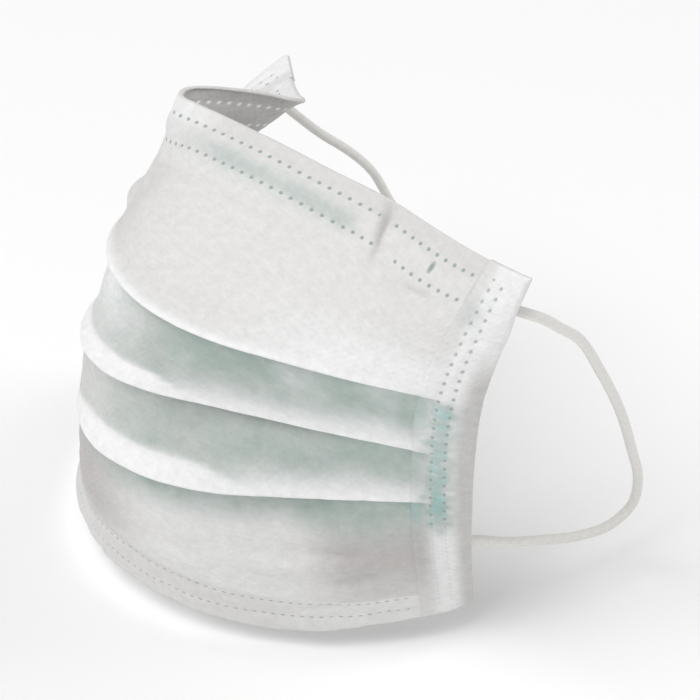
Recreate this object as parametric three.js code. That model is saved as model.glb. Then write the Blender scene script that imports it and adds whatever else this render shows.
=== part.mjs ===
// Surgical face mask, opened out to the form it is worn in.
// A pleated cloth panel has a hem rolled over a nose wire along the top, a second hem along the bottom,
// a folded binding down each side and two elastic ear loops.
// Millimetres, +Z up. The mask faces -Y and the wearer's left is +X.
// The origin is on the inside of the nose bend, level with the top edge.
import * as THREE from 'three';

const MASK_WIDTH = 175;
const CLOTH_HEIGHT = 164;
const CLOTH = 1;
const GAP = 0.3;
const LAYER = CLOTH + GAP;
const PLEAT_OPENING = 2.4;
const SOFT_RIDGE = 0.55;
const TOP_HEM_HEIGHT = 16;
const BOTTOM_HEM_HEIGHT = 11;
const BINDING_WIDTH = 11;
const BINDING_CLEARANCE = 0.6;
const WIRE_WIDTH = 3;
const WIRE_THICKNESS = 0.8;
const WIRE_BELOW_RIM = 6.4;
const WIRE_STARTS = 24.5;
const WIRE_ENDS = 128;
const LOOP_DIAMETER = 2.4;
const LOOP_SIDES = 8;
const LOOP_STEPS = 40;
const LONGEST_RECESS = 13;
const FREE_FROM_BINDING = 2;
const FREE_OVER = 24;
const PINNED_SHARE = 0.3;
const TOP_HEM_DEPTH = 2 * LAYER;
const BOTTOM_HEM_DEPTH = 1.3 * LAYER;

// How finely the cloth is divided. Stations are places along the mask's width.
const INNER_STATIONS = 31;
const EDGE_STATIONS = [0, 3.7, 7.4, BINDING_WIDTH];
const STATION_SPREAD = 8;
const ARC_STEPS = 3;
const TOP_BAND_STEPS = 5;
const BOTTOM_BAND_STEPS = 3;
const HEM_STEPS = 3;
const LONG_BINDING_STEPS = 6;
const SHORT_BINDING_STEPS = 2;
const LEAST_LEVEL_STEP = 0.05;

// The five lines across the mask, all as long as the mask is wide, from the left side edge to the right.
// x, y, z: the left end. heading, crease, turn, flare: degrees, as seen from above.
// turnAt, turnOver: where the main turn is and how long it is. rise, drop, sag: millimetres in height.
const LINES = {
  rim: {
    x: 99.5, y: -3.8, z: 0.6, heading: 174, crease: 13, turn: -106.1, turnAt: 101.4, turnOver: 12,
    flare: 65.8, rise: 9.4, riseOver: 95, drop: 26.5, sag: 7.9,
  },
  firstFold: {
    x: 87.8, y: -3.9, z: -30.4, heading: 219.1, crease: 0, turn: -94.8, turnAt: 73.5, turnOver: 75,
    flare: 11, rise: 10.7, riseOver: 90, drop: 17, sag: -1.4,
  },
  secondFold: {
    x: 83, y: -1.2, z: -45.6, heading: 218.5, crease: 0, turn: -88.9, turnAt: 77.2, turnOver: 48,
    flare: 0, rise: 7.1, riseOver: 90, drop: 13.1, sag: -1.6,
  },
  thirdFold: {
    x: 78.9, y: 2.5, z: -59.1, heading: 229.9, crease: 0, turn: -99.2, turnAt: 73.7, turnOver: 78.2,
    flare: 0, rise: 2.4, riseOver: 90, drop: 7.5, sag: -0.4,
  },
  bottom: {
    x: 70.8, y: 11.9, z: -90.5, heading: 275.3, crease: 0, turn: -146.5, turnAt: 55.9, turnOver: 205.4,
    flare: 0, rise: 1.6, riseOver: 90, drop: 5.5, sag: 4.2,
  },
};
const CREASE_AT = 42;
const CREASE_OVER = 14;
const FLARE_AT = 133;
const FLARE_OVER = 12;

// Outward crown of each band between two lines, in millimetres at its middle.
const CROWNS = { top: 1.2, first: 0, second: 0, bottom: 1.8 };

// Soft dents (depth above 0, inwards) and puffs (below 0), by band.
// at: distance from the left edge. down: share of the band's height. lean: how far "at" moves down the band.
const DENTS = [
  { band: 0, at: 50, down: 0.42, wide: 7, tall: 0.3, lean: 18, depth: 1.6 },
  { band: 0, at: 22, down: 0.55, wide: 9, tall: 0.16, lean: 0, depth: 0.9 },
  { band: 0, at: 66, down: 0.6, wide: 12, tall: 0.25, lean: 20, depth: -1 },
  { band: 3, at: 30, down: 0.45, wide: 9, tall: 0.12, lean: 12, depth: 1 },
  { band: 3, at: 40, down: 0.62, wide: 10, tall: 0.12, lean: 16, depth: -0.9 },
  { band: 3, at: 118, down: 0.5, wide: 14, tall: 0.3, lean: 8, depth: 0.9 },
];

const COLOURS = {
  panel: 0xe6eae7, hem: 0xece8e5, binding: 0xe4e6e3, wire: 0xdcdedb, loop: 0xdfded9,
};

// Where each ear loop runs: weld on the inside of the upper corner, out behind the side edge and back.
const LEFT_LOOP_ROUTE = [
  [86.5, 1.4, -10.4], [91.4, 2.1, -10.5], [95, 4.9, -11.9], [94.4, 10, -16.2], [93.2, 16.6, -21.8],
  [90, 25.5, -33.1], [85.8, 36, -48], [81.5, 44.6, -62.7], [78.2, 50.4, -73.9], [75.8, 51.4, -81.6],
  [74.1, 47.4, -85.5], [73.8, 38.6, -84.7], [74, 27.6, -81], [72.3, 17.8, -78.2], [69.5, 12.4, -77],
  [66.7, 7.6, -77], [64.6, 3.8, -77.4],
];
const RIGHT_LOOP_ROUTE = [
  [-27.1, 41, -27.4], [-30.7, 44.4, -28.8], [-33.3, 49.2, -31.5], [-31.6, 56.8, -38.2],
  [-29.6, 64.4, -44.3], [-28.2, 69.3, -49.9], [-27.5, 73.3, -57.3], [-26.8, 77.6, -66],
  [-27.8, 79.6, -76], [-31, 77.4, -86], [-36, 69.4, -92], [-41.6, 58.2, -93],
  [-46.8, 47.6, -90.6], [-50.6, 38, -87], [-51.6, 32, -84.4], [-49.6, 27.2, -82.4],
  [-45.6, 21.6, -81.3], [-42.5, 17.2, -81.2],
];

function smooth(x) {
  const t = Math.min(1, Math.max(0, x));
  return t * t * (3 - 2 * t);
}

function ramp(s, at, over) {
  return smooth((s - at) / over + 0.5);
}

function lineHeading(line, s) {
  const turned = line.turn * ramp(s, line.turnAt, line.turnOver);
  const creased = line.crease * ramp(s, CREASE_AT, CREASE_OVER);
  const flared = line.flare * ramp(s, FLARE_AT, FLARE_OVER);
  return THREE.MathUtils.degToRad(line.heading + turned + creased + flared);
}

function lineHeight(line, s) {
  const risen = line.rise * smooth(s / line.riseOver);
  const dropped = line.drop * smooth((s - line.riseOver) / (MASK_WIDTH - line.riseOver));
  return line.z + risen - dropped - line.sag * Math.sin(Math.PI * s / MASK_WIDTH);
}

// Walks along a line in 1 mm steps, so its length stays that of the flat cloth.
function traceLine(line) {
  const points = [new THREE.Vector3(line.x, line.y, line.z)];
  for (let s = 1; s <= MASK_WIDTH; s += 1) {
    const climb = lineHeight(line, s) - lineHeight(line, s - 1);
    const level = Math.sqrt(Math.max(LEAST_LEVEL_STEP, 1 - climb * climb));
    const heading = lineHeading(line, s - 0.5);
    const step = new THREE.Vector3(Math.cos(heading) * level, Math.sin(heading) * level, climb);
    points.push(points[s - 1].clone().add(step));
  }
  return points;
}

const TRACES = Object.values(LINES).map(traceLine);
const CROWN_LIST = Object.values(CROWNS);

function linePoint(index, s) {
  const step = Math.min(MASK_WIDTH - 1, Math.max(0, Math.floor(s)));
  return TRACES[index][step].clone().lerp(TRACES[index][step + 1], s - step);
}

function lineDirection(index, s) {
  const before = linePoint(index, Math.max(0, s - 1));
  const after = linePoint(index, Math.min(MASK_WIDTH, s + 1));
  return after.sub(before).normalize();
}

function bandHeight(band, s) {
  return linePoint(band, s).distanceTo(linePoint(band + 1, s));
}

function bandDown(band, s) {
  return linePoint(band + 1, s).sub(linePoint(band, s)).normalize();
}

// Unit vector from the cloth towards the wearer, at a share t of the way down a band.
function bandInward(band, s, t) {
  const across = lineDirection(band, s).lerp(lineDirection(band + 1, s), t);
  return bandDown(band, s).cross(across).normalize();
}

// 0 in the side bindings, 1 away from them.
function freeCloth(s) {
  const fromEdge = Math.min(s, MASK_WIDTH - s);
  return smooth((fromEdge - BINDING_WIDTH - FREE_FROM_BINDING) / FREE_OVER);
}

function dentDepth(band, s, t) {
  let depth = 0;
  for (const dent of DENTS) {
    if (dent.band === band) {
      const down = (t - dent.down) / dent.tall;
      const along = (s - dent.at - dent.lean * (t - dent.down)) / dent.wide;
      depth += dent.depth * Math.exp(-down * down - along * along);
    }
  }
  const crown = CROWN_LIST[band] * Math.sin(Math.PI * Math.min(1, Math.max(0, t)));
  const pinned = smooth(t / PINNED_SHARE) * smooth((1 - t) / PINNED_SHARE);
  return (depth * pinned - crown) * freeCloth(s);
}

// A point of a band's surface, depth millimetres inside the middle of the cloth.
function skin(band, s, t, depth) {
  const base = linePoint(band, s).lerp(linePoint(band + 1, s), t);
  return base.addScaledVector(bandInward(band, s, t), depth + dentDepth(band, s, t));
}

// Cloth left inside the folds is shared out over the three pleats.
function pleatDepth(s) {
  let shown = 0;
  for (let band = 0; band < 4; band += 1) {
    shown += bandHeight(band, s);
  }
  return (CLOTH_HEIGHT - shown) / 6;
}

// How far below a fold line the next band comes out to its own surface.
function recessHeight(band, s) {
  return Math.min(LONGEST_RECESS, bandHeight(band, s) - pleatDepth(s));
}

// Half circle of cloth about a centre, from one side of the fold to the other.
function foldArc(centre, start, over, radius, first) {
  const points = [];
  for (let i = first; i <= ARC_STEPS; i += 1) {
    const angle = Math.PI * i / ARC_STEPS;
    const point = centre.clone().addScaledVector(start, radius * Math.cos(angle));
    points.push(point.addScaledVector(over, radius * Math.sin(angle)));
  }
  return points;
}

// One pleat below a fold line: round the ridge, up behind the band, round the valley and down again.
function pleatPoints(band, s) {
  const free = freeCloth(s);
  const ridge = linePoint(band + 1, s);
  const down = bandDown(band, s);
  const inward = bandInward(band, s, 1);
  const outward = inward.clone().negate();
  const up = down.clone().negate();
  const radius = LAYER / 2;
  const ridgeRadius = radius + SOFT_RIDGE * free;
  const opening = PLEAT_OPENING * free;
  const depth = pleatDepth(s);
  const ridgeCentre = ridge.clone().addScaledVector(down, -ridgeRadius).addScaledVector(inward, ridgeRadius);
  const valleyCentre = ridge.clone().addScaledVector(up, depth - radius);
  valleyCentre.addScaledVector(inward, 3 * radius + opening);
  const recess = 4 * radius + opening / 2 + 2 * (ridgeRadius - radius);
  const behindRidge = ridge.clone().addScaledVector(inward, recess);
  const level = recessHeight(band + 1, s);
  const outside = skin(band + 1, s, level / bandHeight(band + 1, s), 0);
  const between = behindRidge.clone().lerp(outside, 0.5);
  between.addScaledVector(inward, -recess / 4);
  return [
    ...foldArc(ridgeCentre, outward, down, ridgeRadius, 0),
    ...foldArc(valleyCentre, outward, up, radius, 0),
    behindRidge,
    between,
    outside,
  ];
}

function bandPoints(band, s, from, to, count) {
  const points = [];
  for (let i = 0; i < count; i += 1) {
    const t = from + (to - from) * i / count;
    points.push(skin(band, s, t, 0));
  }
  return points;
}

// The cloth from the top edge to the bottom edge at one distance from the left side.
function panelSection(s) {
  const topStart = (LAYER + GAP + CLOTH / 2) / bandHeight(0, s);
  const ridgeStart = 1 - (LAYER / 2 + SOFT_RIDGE * freeCloth(s)) / bandHeight(0, s);
  const bottomHeight = bandHeight(3, s);
  const bottomStart = recessHeight(3, s) / bottomHeight;
  const bottomEnd = 1 - (LAYER + GAP) / bottomHeight;
  const points = bandPoints(0, s, topStart, ridgeStart, TOP_BAND_STEPS);
  points.push(...pleatPoints(0, s));
  points.push(...pleatPoints(1, s));
  points.push(...pleatPoints(2, s));
  points.push(...bandPoints(3, s, bottomStart, bottomEnd, BOTTOM_BAND_STEPS).slice(1));
  points.push(skin(3, s, bottomEnd, 0));
  return points;
}

// Distances from the left edge at which the cloth is worked out, closest where it bends most.
function stations() {
  const nearBend = (s) => Math.exp(-(((s - LINES.rim.turnAt) / STATION_SPREAD) ** 2));
  const nearFlare = (s) => Math.exp(-(((s - FLARE_AT) / STATION_SPREAD) ** 2));
  const last = MASK_WIDTH - BINDING_WIDTH;
  const sums = [];
  let sum = 0;
  for (let s = BINDING_WIDTH; s <= last; s += 1) {
    sums.push(sum);
    sum += 1 + 2.6 * nearBend(s + 0.5) + 1.4 * nearFlare(s + 0.5);
  }
  const total = sums[sums.length - 1];
  const list = [...EDGE_STATIONS];
  let step = 0;
  for (let i = 1; i <= INNER_STATIONS; i += 1) {
    const wanted = total * i / (INNER_STATIONS + 1);
    while (sums[step + 1] < wanted) {
      step += 1;
    }
    list.push(BINDING_WIDTH + step + (wanted - sums[step]) / (sums[step + 1] - sums[step]));
  }
  list.push(...EDGE_STATIONS.map((s) => MASK_WIDTH - s).reverse());
  return list;
}

const STATIONS = stations();

function averageDirection(before, here, after) {
  const sum = new THREE.Vector3();
  if (before) {
    sum.add(here.clone().sub(before).normalize());
  }
  if (after) {
    sum.add(after.clone().sub(here).normalize());
  }
  return sum.normalize();
}

function gridNormal(grid, i, j) {
  const along = averageDirection(grid[i - 1]?.[j], grid[i][j], grid[i + 1]?.[j]);
  const across = averageDirection(grid[i][j - 1], grid[i][j], grid[i][j + 1]);
  return along.cross(across).normalize();
}

function signedVolume(positions, indices) {
  const a = new THREE.Vector3();
  const b = new THREE.Vector3();
  const c = new THREE.Vector3();
  let volume = 0;
  for (let i = 0; i < indices.length; i += 3) {
    a.fromArray(positions, indices[i] * 3);
    b.fromArray(positions, indices[i + 1] * 3);
    c.fromArray(positions, indices[i + 2] * 3);
    volume += a.dot(b.cross(c));
  }
  return volume;
}

// Border of a grid as a closed ring of vertex numbers.
function borderRing(rows, columns) {
  const ring = [];
  for (let j = 0; j < columns; j += 1) {
    ring.push(j);
  }
  for (let i = 1; i < rows; i += 1) {
    ring.push(i * columns + columns - 1);
  }
  for (let j = columns - 2; j >= 0; j -= 1) {
    ring.push((rows - 1) * columns + j);
  }
  for (let i = rows - 2; i > 0; i -= 1) {
    ring.push(i * columns);
  }
  return ring;
}

// Closed wall of even thickness about a grid of middle points.
function sheetSolid(grid, thickness) {
  const rows = grid.length;
  const columns = grid[0].length;
  const count = rows * columns;
  const positions = new Array(count * 6);
  for (let i = 0; i < rows; i += 1) {
    for (let j = 0; j < columns; j += 1) {
      const normal = gridNormal(grid, i, j);
      const index = i * columns + j;
      const front = grid[i][j].clone().addScaledVector(normal, thickness / 2);
      const back = grid[i][j].clone().addScaledVector(normal, -thickness / 2);
      front.toArray(positions, index * 3);
      back.toArray(positions, (count + index) * 3);
    }
  }
  const indices = [];
  for (let i = 0; i < rows - 1; i += 1) {
    for (let j = 0; j < columns - 1; j += 1) {
      const a = i * columns + j;
      const b = a + columns;
      indices.push(a, b, b + 1, a, b + 1, a + 1);
      indices.push(count + a, count + b + 1, count + b, count + a, count + a + 1, count + b + 1);
    }
  }
  const ring = borderRing(rows, columns);
  for (let i = 0; i < ring.length; i += 1) {
    const a = ring[i];
    const b = ring[(i + 1) % ring.length];
    indices.push(a, b, count + b, a, count + b, count + a);
  }
  if (signedVolume(positions, indices) < 0) {
    indices.reverse();
  }
  const geometry = new THREE.BufferGeometry();
  geometry.setAttribute('position', new THREE.Float32BufferAttribute(positions, 3));
  geometry.setIndex(indices);
  geometry.computeVertexNormals();
  return geometry;
}

// Section of a hem: rolled over the cloth's edge, then flat behind it.
function hemSection(band, s, edge, towards, depth, height) {
  const radius = depth / 2;
  const bandLength = bandHeight(band, s);
  const centre = skin(band, s, edge + towards * radius / bandLength, radius);
  const outward = bandInward(band, s, edge).negate();
  const over = bandDown(band, s).multiplyScalar(-towards);
  const points = foldArc(centre, outward, over, radius, 0);
  for (let i = 1; i <= HEM_STEPS; i += 1) {
    const reach = radius + (height - radius) * i / HEM_STEPS;
    points.push(skin(band, s, edge + towards * reach / bandLength, depth));
  }
  return points;
}

function topHem() {
  const grid = STATIONS.map((s) => hemSection(0, s, 0, 1, TOP_HEM_DEPTH, TOP_HEM_HEIGHT));
  return sheetSolid(grid, CLOTH);
}

function bottomHem() {
  const grid = STATIONS.map((s) => hemSection(3, s, 1, -1, BOTTOM_HEM_DEPTH, BOTTOM_HEM_HEIGHT));
  return sheetSolid(grid, CLOTH);
}

function noseWire() {
  const inside = STATIONS.filter((s) => s > WIRE_STARTS + 1 && s < WIRE_ENDS - 1);
  const places = [WIRE_STARTS, ...inside, WIRE_ENDS];
  const grid = places.map((s) => {
    const height = bandHeight(0, s);
    const upper = (WIRE_BELOW_RIM - WIRE_WIDTH / 2) / height;
    const lower = (WIRE_BELOW_RIM + WIRE_WIDTH / 2) / height;
    return [skin(0, s, upper, LAYER), skin(0, s, lower, LAYER)];
  });
  return sheetSolid(grid, WIRE_THICKNESS);
}

// Inward direction shared by the two bands that meet at a line.
function lineInward(index, s) {
  const sum = new THREE.Vector3();
  if (index > 0) {
    sum.add(bandInward(index - 1, s, 1));
  }
  if (index < 4) {
    sum.add(bandInward(index, s, 0));
  }
  return sum.normalize();
}

// A point w millimetres in from a side edge; w below 0 lies beyond the edge.
function edgePoint(left, band, t, w, depth) {
  const s = left ? Math.max(0, w) : MASK_WIDTH - Math.max(0, w);
  const base = linePoint(band, s).lerp(linePoint(band + 1, s), t);
  const inward = lineInward(band, s).lerp(lineInward(band + 1, s), t).normalize();
  const along = lineDirection(band, s).lerp(lineDirection(band + 1, s), t).normalize();
  base.addScaledVector(inward, depth);
  return base.addScaledVector(along, (left ? 1 : -1) * Math.min(0, w));
}

// Section of a side binding: flat outside, round the edge and flat inside.
function bindingSection(left, band, t) {
  const outer = -CLOTH - BINDING_CLEARANCE;
  const inner = 2 * LAYER + CLOTH + BINDING_CLEARANCE;
  const legs = [...EDGE_STATIONS].reverse();
  const points = legs.map((w) => edgePoint(left, band, t, w, outer));
  for (let i = 1; i < 4; i += 1) {
    const angle = Math.PI * i / 4;
    const reach = -Math.sin(angle) * (inner - outer) / 2;
    const depth = (outer + inner) / 2 - Math.cos(angle) * (inner - outer) / 2;
    points.push(edgePoint(left, band, t, reach, depth));
  }
  points.push(...legs.reverse().map((w) => edgePoint(left, band, t, w, inner)));
  return points;
}

function sideBinding(left) {
  const grid = [];
  for (let band = 0; band < 4; band += 1) {
    const count = band === 0 || band === 3 ? LONG_BINDING_STEPS : SHORT_BINDING_STEPS;
    for (let i = 0; i < count; i += 1) {
      grid.push(bindingSection(left, band, i / count));
    }
  }
  grid.push(bindingSection(left, 3, 1));
  return sheetSolid(grid, CLOTH);
}

function earLoop(route) {
  const path = new THREE.CatmullRomCurve3(route.map((p) => new THREE.Vector3(...p)), false, 'centripetal');
  const section = new THREE.Shape();
  for (let i = 0; i < LOOP_SIDES; i += 1) {
    const angle = 2 * Math.PI * i / LOOP_SIDES;
    const x = LOOP_DIAMETER / 2 * Math.cos(angle);
    const y = LOOP_DIAMETER / 2 * Math.sin(angle);
    if (i === 0) {
      section.moveTo(x, y);
    } else {
      section.lineTo(x, y);
    }
  }
  return new THREE.ExtrudeGeometry(section, { steps: LOOP_STEPS, extrudePath: path });
}

function piece(name, geometry, color, roughness) {
  const material = new THREE.MeshStandardMaterial({ color, roughness, metalness: 0 });
  const mesh = new THREE.Mesh(geometry, material);
  mesh.name = name;
  return mesh;
}

const mask = new THREE.Group();
mask.add(piece('mask_panel', sheetSolid(STATIONS.map(panelSection), CLOTH), COLOURS.panel, 0.9));
mask.add(piece('top_hem', topHem(), COLOURS.hem, 0.9));
mask.add(piece('bottom_hem', bottomHem(), COLOURS.hem, 0.9));
mask.add(piece('nose_wire', noseWire(), COLOURS.wire, 0.5));
mask.add(piece('side_binding_left', sideBinding(true), COLOURS.binding, 0.88));
mask.add(piece('side_binding_right', sideBinding(false), COLOURS.binding, 0.88));
mask.add(piece('ear_loop_left', earLoop(LEFT_LOOP_ROUTE), COLOURS.loop, 0.8));
mask.add(piece('ear_loop_right', earLoop(RIGHT_LOOP_ROUTE), COLOURS.loop, 0.8));

export default mask;
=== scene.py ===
"""The looks of a pleated surgical face mask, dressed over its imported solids.

Sizes are in millimetres until a point goes into a mesh, where MM turns it to metres.
s is the distance along a line across the mask, from its left side edge. A band is the cloth between
two lines, and t is the share of the way down it. Depth is measured inwards, towards the wearer.
"""
import math

import bmesh
import bpy
import numpy as np
from mathutils import Matrix, Vector, noise


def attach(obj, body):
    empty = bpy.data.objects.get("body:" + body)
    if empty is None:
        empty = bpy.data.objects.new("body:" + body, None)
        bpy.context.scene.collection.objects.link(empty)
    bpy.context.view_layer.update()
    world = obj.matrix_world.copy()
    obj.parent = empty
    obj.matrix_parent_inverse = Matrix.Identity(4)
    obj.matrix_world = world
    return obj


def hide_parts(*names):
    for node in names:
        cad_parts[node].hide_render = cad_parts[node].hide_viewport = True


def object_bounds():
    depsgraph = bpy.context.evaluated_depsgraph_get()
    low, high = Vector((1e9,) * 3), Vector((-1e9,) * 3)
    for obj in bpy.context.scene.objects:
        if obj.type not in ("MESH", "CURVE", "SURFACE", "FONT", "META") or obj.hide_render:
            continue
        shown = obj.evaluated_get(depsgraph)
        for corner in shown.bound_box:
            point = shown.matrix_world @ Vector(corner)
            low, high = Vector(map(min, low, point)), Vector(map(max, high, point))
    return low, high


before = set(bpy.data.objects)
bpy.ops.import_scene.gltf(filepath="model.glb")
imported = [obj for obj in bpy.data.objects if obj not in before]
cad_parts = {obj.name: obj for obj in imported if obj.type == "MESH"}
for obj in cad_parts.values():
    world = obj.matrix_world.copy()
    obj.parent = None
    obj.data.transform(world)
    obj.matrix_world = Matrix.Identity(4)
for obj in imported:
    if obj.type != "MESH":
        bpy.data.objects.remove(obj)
cad_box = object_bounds()

MM = 0.001
MASK_WIDTH = 175
CLOTH_HEIGHT = 164
CLOTH = 0.32
BINDING_CLOTH = 0.26
LAYER = 0.46
PRESSED_LAYER = 0.35
BINDING_WIDTH = 11
EDGE_TUCK = 1.3
EDGE_CURL = 0.7
EDGE_CURL_WIDTH = 4.5
RIM_CURL_EASES = 0.6
PLEAT_OPENING = 1.7
PLEATS_OPEN_AT = 42
PLEATS_OPEN_WIDE = 34
RIDGE_RADIUS = 0.3
SOFT_RIDGE = 0.22
ROLL_STEPS = 6
TOP_BAND_ROWS = 24
LOWER_BAND_ROWS = 20

# Past the bindings the cloth is free of their pressing. It takes lips and dents from just under them on.
FREE_FROM_BINDING = 2
FREE_OVER = 24
PLIANT_UNDER_BINDING = 1
PLIANT_OVER = 11

# Heat welds: two rows of dots along the top, each with the stretch that the crease hides, two rows of
# dashes along the bottom, and two columns down each side, of dots and, from a little below the last fold,
# faint rungs. A mesh column or row is left between any two marks.
COLUMN = 0.65
ROW = 0.6
MARK_REACH = 2 * ROW - 0.1
COLUMNS_PER_DOT = 4
COLUMNS_PER_DASH = 3
TOP_ROWS = {3.6: (37.5, 41), 9: (33.5, 37)}
BOTTOM_ROWS = (3, 6.6)
SIDE_COLUMNS = (4.55, 7.15)
DOT_HALF = (0.46, 0.39)
DASH_HALF = (0.5, 0.27)
RUNG_HALF = (0.4, 0.8)
WIRE_END_MARK = {"at": 22.75, "below_rim": 6, "half": (0.6, 1.3)}
DASH_FAINTNESS = 0.12
RUNG_FAINTNESS = 0.85
WELD_DEPTH = 0.2
WELD_GROOVE = 0.12
FAR = 9
TEXTURE_SPAN = 200

TOP_ROLL = 0.45
TOP_HEM_HEIGHT = 16
BOTTOM_ROLL = 0.38
BOTTOM_HEM_HEIGHT = 11
HEM_DEPTH = 0.52
WIRE_WIDTH = 3
WIRE_THICKNESS = 0.45
WIRE_DEPTH = 0.42
WIRE_CROWN = 0.06
WIRE_BELOW_RIM = 6.4
WIRE_STARTS = 24.5
WIRE_ENDS = 128
WIRE_BULGE_OUT = 0.3
WIRE_BULGE_IN = 0.45
LOOP_DIAMETER = 2.1
LOOP_STEP = 0.8
LOOP_SIDES = 14

# The five lines across the mask. Headings and turns are in degrees, as seen from above.
LINES = {
    "rim": {
        "x": 99.5, "y": -3.8, "z": 0.6, "heading": 174, "crease": 13, "turn": -106.1, "turn_at": 101.4,
        "turn_over": 12, "flare": 65.8, "rise": 9.4, "rise_over": 95, "drop": 26.5, "sag": 7.9,
    },
    "first_fold": {
        "x": 87.8, "y": -3.9, "z": -30.4, "heading": 219.1, "crease": 0, "turn": -94.8, "turn_at": 73.5,
        "turn_over": 75, "flare": 11, "rise": 10.7, "rise_over": 90, "drop": 17, "sag": -1.4,
    },
    "second_fold": {
        "x": 83, "y": -1.2, "z": -45.6, "heading": 218.5, "crease": 0, "turn": -88.9, "turn_at": 77.2,
        "turn_over": 48, "flare": 0, "rise": 7.1, "rise_over": 90, "drop": 13.1, "sag": -1.6,
    },
    "third_fold": {
        "x": 78.9, "y": 2.5, "z": -59.1, "heading": 229.9, "crease": 0, "turn": -99.2, "turn_at": 73.7,
        "turn_over": 78.2, "flare": 0, "rise": 2.4, "rise_over": 90, "drop": 7.5, "sag": -0.4,
    },
    "bottom": {
        "x": 70.8, "y": 11.9, "z": -90.5, "heading": 275.3, "crease": 0, "turn": -146.5, "turn_at": 55.9,
        "turn_over": 205.4, "flare": 0, "rise": 1.6, "rise_over": 90, "drop": 5.5, "sag": 4.2,
    },
}
CREASE_AT = 42
CREASE_OVER = 14
FLARE_AT = 133
FLARE_OVER = 12
TRACE_STEP = 0.25
CROWNS = (0.7, 0, 0, 0.5)
CREASES = (0.16, 0.14, 0.14, 0.3)
LOWEST_CREASES = 0.45
SWELLS = ({"amount": 0.3, "span": 19}, {"amount": 0.12, "span": 6})

# The lip above each fold, where the cloth sweeps out to its ridge: narrow at first, and wide from
# "turns_at" on. "out" is how far the cloth above a lip stands behind the ridge. It eases to "last_out" at
# the mask's turn.
LIPS = [
    {
        "narrow": 1.2, "wide": 1.8, "narrow_out": 0.8, "wide_out": 1.3, "last_out": 0.8,
        "turns_at": 50, "turns_over": 20,
    },
    {
        "narrow": 1.4, "wide": 4.2, "narrow_out": 0.9, "wide_out": 2.8, "last_out": 1.8,
        "turns_at": 59, "turns_over": 12,
    },
    {
        "narrow": 1.6, "wide": 5.2, "narrow_out": 1, "wide_out": 3.4, "last_out": 0.6,
        "turns_at": 48, "turns_over": 18,
    },
]
LIP_EASES_AT = 86
LIP_EASES_OVER = 18
LIP_ROUNDING = 0.22

# Soft dents (depth above 0) and puffs (below 0). "wide" is along the mask, and "lean" moves "at" down the
# band.
DENTS = [
    {"band": 0, "at": 39.5, "down": 0.12, "wide": 1.2, "tall": 0.13, "lean": -16, "depth": 1.1},
    {"band": 0, "at": 50, "down": 0.42, "wide": 8, "tall": 0.3, "lean": 18, "depth": 1.4},
    {"band": 0, "at": 22, "down": 0.37, "wide": 9, "tall": 0.045, "lean": 0, "depth": 1.5},
    {"band": 0, "at": 24, "down": 0.5, "wide": 10, "tall": 0.09, "lean": 0, "depth": -0.7},
    {"band": 0, "at": 66, "down": 0.6, "wide": 12, "tall": 0.25, "lean": 20, "depth": -0.8},
    {"band": 0, "at": 98, "down": 0.5, "wide": 7, "tall": 0.32, "lean": 0, "depth": 2.2},
    {"band": 0, "at": 103.5, "down": 0.9, "wide": 1.4, "tall": 0.13, "lean": 0, "depth": 1.5},
    {"band": 0, "at": 110, "down": 0.84, "wide": 5.5, "tall": 0.15, "lean": 0, "depth": -2.6},
    {"band": 1, "at": 72, "down": 0.5, "wide": 2.5, "tall": 0.3, "lean": 10, "depth": 0.6},
    {"band": 2, "at": 70, "down": 0.5, "wide": 3, "tall": 0.3, "lean": 14, "depth": 0.6},
    {"band": 2, "at": 84, "down": 0.5, "wide": 4, "tall": 0.3, "lean": 6, "depth": 0.5},
    {"band": 3, "at": 27, "down": 0.42, "wide": 10, "tall": 0.05, "lean": 14, "depth": 1},
    {"band": 3, "at": 34, "down": 0.53, "wide": 12, "tall": 0.06, "lean": 18, "depth": -0.9},
    {"band": 3, "at": 40, "down": 0.63, "wide": 10, "tall": 0.05, "lean": 22, "depth": 0.8},
    {"band": 3, "at": 20, "down": 0.6, "wide": 7, "tall": 0.05, "lean": 12, "depth": 0.8},
    {"band": 3, "at": 22, "down": 0.7, "wide": 7, "tall": 0.05, "lean": 12, "depth": -0.6},
    {"band": 3, "at": 60, "down": 0.5, "wide": 9, "tall": 0.05, "lean": 12, "depth": 0.6},
    {"band": 3, "at": 118, "down": 0.5, "wide": 14, "tall": 0.3, "lean": 8, "depth": 0.9},
]
# The bottom edge sags a little near the left, and its hem widens towards the middle.
HEM_SAG = {"at": 38, "wide": 22, "sag": 1.3}
HEM_WIDTH = {"at": 88, "wide": 38, "least": 0.87, "more": 0.9}

# Camera: where it looks from and at, in the mask's own frame.
CAMERA_AZIMUTH = 50
CAMERA_ELEVATION = 30
CAMERA_DISTANCE = 600
CAMERA_TARGET = (19.94, 22.37, -58.52)
CAMERA_LENS = 146.93

# The studio, in metres and watts. A light's aim is the way it shines.
FLOOR_GAP = 0.002
FLOOR_HALF_SIZE = 3
SKY_STRENGTH = 0.42
LIGHT_DISTANCE = 3
LIGHTS = (
    {"name": "key", "aim": (-0.02, 0.56, -0.83), "size": 2.2, "power": 58},
    {"name": "fill", "aim": (-0.35, -0.6, -0.72), "size": 2, "power": 22},
)

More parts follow.
